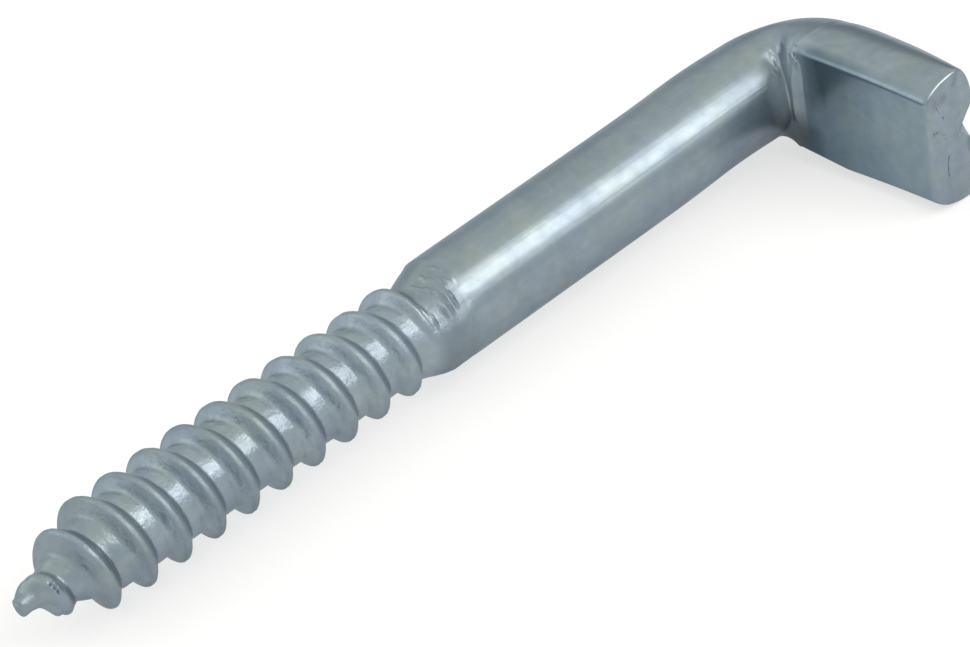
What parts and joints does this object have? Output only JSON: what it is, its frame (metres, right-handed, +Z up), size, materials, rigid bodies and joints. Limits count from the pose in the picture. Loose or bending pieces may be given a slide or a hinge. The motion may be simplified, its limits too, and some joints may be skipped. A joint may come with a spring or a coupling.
{
  "type": "bent screw-in pin",
  "caption": "Zinc-plated steel wire pin with a coarse wood-screw thread and gimlet point, a smooth round shank and a short arm bent square and pressed flat on its inner side.",
  "frame": {"origin": "on the shank's axis, half way along its smooth part", "axes": "+X along the shank towards the pointed tip, +Y along the bent arm, +Z up as the pin lies on its side"},
  "size_m": [0.0602, 0.0158, 0.008],
  "materials": {
    "zinc_plated_steel": "bright blue-grey zinc plating, smooth on the shank and slightly mottled on the thread"
  },
  "bodies": {
    "root": {"hinge_pin": "zinc_plated_steel"}
  },
  "joints": []
}
